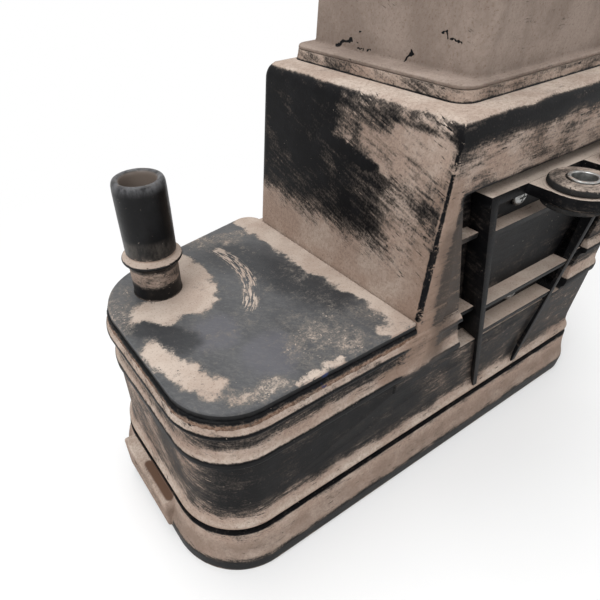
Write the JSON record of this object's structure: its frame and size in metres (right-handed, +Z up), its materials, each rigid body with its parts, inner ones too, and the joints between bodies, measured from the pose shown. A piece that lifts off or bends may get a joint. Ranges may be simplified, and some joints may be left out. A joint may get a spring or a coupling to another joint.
{
  "type": "fuel vapour canister",
  "caption": "Black moulded fuel vapour canister with a low and a tall chamber, hose spigot, vent box, side bracket and shut-off valve, caked in dust.",
  "frame": {"origin": "on the flat underside of the bottom cover, below the foot of the tall chamber's front face, halfway across the tall chamber", "axes": "+X from the nose of the low chamber to the rear of the tall one, +Y to the far side, away from the side bracket, +Z up"},
  "size_m": [0.2904, 0.1484, 0.2037],
  "materials": {
    "housing_plastic": "black moulded plastic under dried clay dust",
    "deck_plastic": "black moulded plastic, wiped grey with dust",
    "spigot_plastic": "smooth black plastic, dusty on the collar",
    "cover_plastic": "black moulded plastic under dried clay dust",
    "vent_plastic": "black moulded plastic caked in clay dust",
    "lid_plastic": "black moulded plastic caked in clay dust",
    "bracket_plastic": "black moulded plastic, dust on its upper faces",
    "small_plastic": "black moulded plastic",
    "valve_plastic": "black moulded plastic with a dust film",
    "screw_steel": "zinc plated",
    "inner_steel": "bright",
    "spring_steel": "drawn spring wire",
    "coil_copper": "enamelled winding",
    "pin_tin": "tin plated",
    "rubber": "black rubber",
    "felt": "white needled fleece",
    "foam": "dark open foam",
    "charcoal": "granular activated charcoal"
  },
  "bodies": {
    "canister": {"housing": "housing_plastic", "deck_cover": "deck_plastic", "hose_spigot": "spigot_plastic", "bottom_cover": "cover_plastic", "vent_box": "vent_plastic", "side_bracket": "bracket_plastic", "relief_cage": "small_plastic", "purge_pipe": "small_plastic", "fresh_air_pipe": "small_plastic", "valve_body": "valve_plastic", "valve_cap": "valve_plastic", "valve_coil": "coil_copper", "magnet_core": "inner_steel", "plunger_spring": "spring_steel", "relief_spring": "spring_steel", "connector_pin_near": "pin_tin", "connector_pin_far": "pin_tin", "valve_screw_near": "screw_steel", "valve_screw_far": "screw_steel", "bracket_screw_front": "screw_steel", "bracket_screw_rear": "screw_steel", "bracket_screw_low": "screw_steel", "mounting_bush_fore": "rubber", "mounting_bush_aft": "rubber", "bush_sleeve_fore": "screw_steel", "bush_sleeve_aft": "screw_steel", "front_upper_fleece": "felt", "rear_upper_fleece": "felt", "front_charcoal_bed": "charcoal", "rear_charcoal_bed": "charcoal", "front_spring_near": "spring_steel", "front_spring_far": "spring_steel", "rear_spring_fore": "spring_steel", "rear_spring_aft": "spring_steel", "lid_seal": "rubber", "dust_filter": "foam"},
    "front_retainer": {"front_retainer_plate": "small_plastic", "front_lower_fleece": "felt"},
    "rear_retainer": {"rear_retainer_plate": "small_plastic", "rear_lower_fleece": "felt"},
    "lid": {"vent_lid": "lid_plastic"},
    "relief_valve": {"relief_disc": "rubber"},
    "valve_plunger": {"valve_plunger": "inner_steel", "plunger_seal": "rubber"}
  },
  "joints": [
    {"name": "front_retainer_slide", "type": "slide", "parent": "canister", "child": "front_retainer", "axis": [0, 0, 1], "range_m": [-0.005, 0], "stiffness_N_per_m": 1500, "springref_m": 0.01, "deforming": ["front_spring_near", "front_spring_far"]},
    {"name": "rear_retainer_slide", "type": "slide", "parent": "canister", "child": "rear_retainer", "axis": [0, 0, 1], "range_m": [-0.005, 0], "stiffness_N_per_m": 1500, "springref_m": 0.01, "deforming": ["rear_spring_fore", "rear_spring_aft"]},
    {"name": "lid_lift", "type": "slide", "parent": "canister", "child": "lid", "axis": [0, 0, 1], "range_m": [0, 0.04]},
    {"name": "relief_lift", "type": "slide", "parent": "canister", "child": "relief_valve", "axis": [0, 0, 1], "range_m": [0, 0.003], "stiffness_N_per_m": 60, "springref_m": -0.004, "deforming": ["relief_spring"]},
    {"name": "plunger_lift", "type": "slide", "parent": "canister", "child": "valve_plunger", "axis": [0, 0, 1], "range_m": [0, 0.003], "stiffness_N_per_m": 150, "springref_m": -0.004, "deforming": ["plunger_spring"]}
  ]
}
